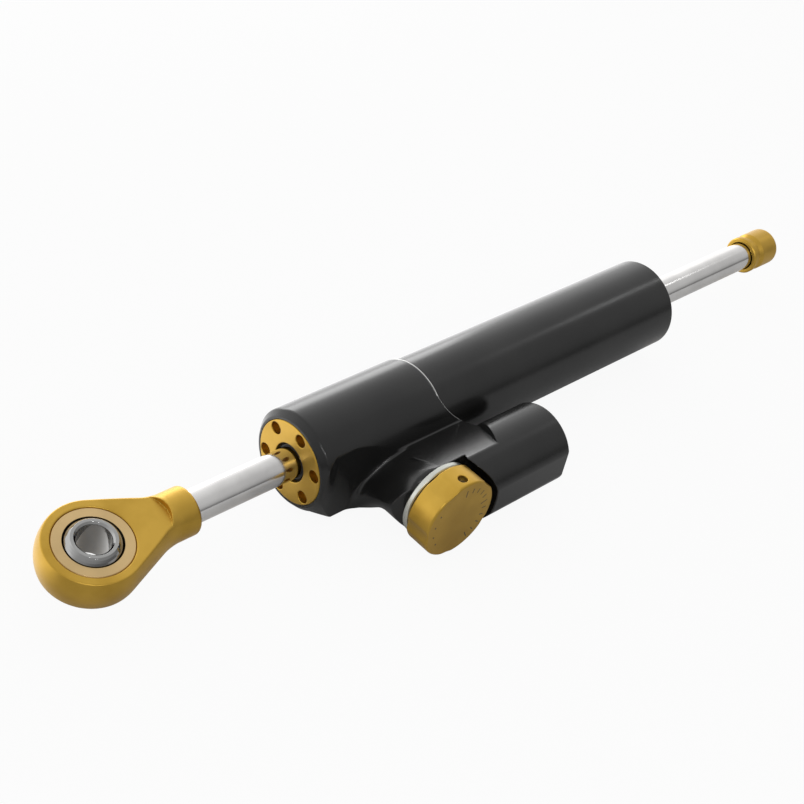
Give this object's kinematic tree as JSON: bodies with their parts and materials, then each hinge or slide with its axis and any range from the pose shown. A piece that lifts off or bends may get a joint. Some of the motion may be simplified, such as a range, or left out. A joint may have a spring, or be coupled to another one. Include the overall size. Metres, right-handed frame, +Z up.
{
  "type": "motorcycle steering damper",
  "caption": "Linear motorcycle steering damper: through rod with a ball-joint eye, black body with a side oil chamber, gold adjuster knob and end cap",
  "frame": {"origin": "centre of the rod eye's ball", "axes": "+X runs along the piston rod from the rod eye to the stop nut, -Y is the side that the adjuster knob looks to, +Z is up, with the chamber beside the barrel"},
  "size_m": [0.3204, 0.0614, 0.0324],
  "materials": {
    "black": "black anodised, fine satin",
    "gold": "gold anodised, satin",
    "silver": "turned bare aluminium",
    "bare_alloy": "machined",
    "chrome": "ground and hard chromed",
    "ball_steel": "polished bearing steel",
    "race": "passivated, fine ground",
    "spring_steel": "oiled steel",
    "polymer": "filled low-friction plastic",
    "rubber": "moulded"
  },
  "bodies": {
    "root": {"damper_body": "black", "gallery_plug": "spring_steel", "outer_tube": "black", "inner_sleeve": "bare_alloy", "front_cap": "gold", "front_wiper": "rubber", "front_rod_seal": "rubber", "front_guide_bush": "polymer", "front_cap_ring": "rubber", "rear_cap": "gold", "rear_wiper": "rubber", "rear_rod_seal": "rubber", "rear_guide_bush": "polymer", "rear_cap_ring": "rubber", "chamber_plug": "black", "chamber_plug_ring": "rubber", "chamber_clip": "spring_steel", "fill_screw": "spring_steel", "adjuster_collar": "silver", "valve_cartridge": "bare_alloy", "cartridge_ring": "rubber", "valve_seat": "spring_steel", "detent_balls": "spring_steel", "detent_springs": "spring_steel"},
    "slider": {"piston_band": "polymer"},
    "rod": {"piston_rod": "chrome", "rod_end": "gold", "bearing_race": "race", "stop_nut": "gold", "piston": "bare_alloy", "piston_ring": "rubber", "piston_clips": "spring_steel"},
    "liner": {"bearing_liner": "polymer"},
    "ball": {"bearing_ball": "ball_steel"},
    "knob": {"adjuster_knob": "gold", "knob_grub_screw": "spring_steel", "adjuster_spindle": "spring_steel"},
    "needle": {"metering_needle": "spring_steel"},
    "float": {"floating_piston": "bare_alloy", "floating_piston_ring": "rubber"}
  },
  "joints": [
    {"name": "rod_slide", "type": "slide", "parent": "root", "child": "slider", "axis": [1, 0, 0], "range_m": [-0.058, 0.032]},
    {"name": "rod_turn", "type": "hinge", "parent": "slider", "child": "rod", "pos_m": [0.16, 0, 0], "axis": [1, 0, 0], "continuous": true},
    {"name": "eye_turn", "type": "hinge", "parent": "rod", "child": "liner", "pos_m": [0, 0, 0], "axis": [0, -0.1736, 0.9848], "continuous": true},
    {"name": "eye_tilt", "type": "hinge", "parent": "liner", "child": "ball", "pos_m": [0, 0, 0], "axis": [1, 0, 0], "range_deg": [-10, 10]},
    {"name": "knob_turn", "type": "hinge", "parent": "root", "child": "knob", "pos_m": [0.0963, -0.04, 0], "axis": [0, -1, 0], "range_deg": [-150, 180]},
    {"name": "needle_travel", "type": "slide", "parent": "root", "child": "needle", "axis": [0, -1, 0], "range_m": [-0.0005, 0.0006]},
    {"name": "float_travel", "type": "slide", "parent": "root", "child": "float", "axis": [1, 0, 0], "range_m": [-0.005, 0.005]}
  ],
  "couplings": [
    {"joint": "needle_travel", "follows": "knob_turn", "m_per_rad": 0.00015915}
  ]
}
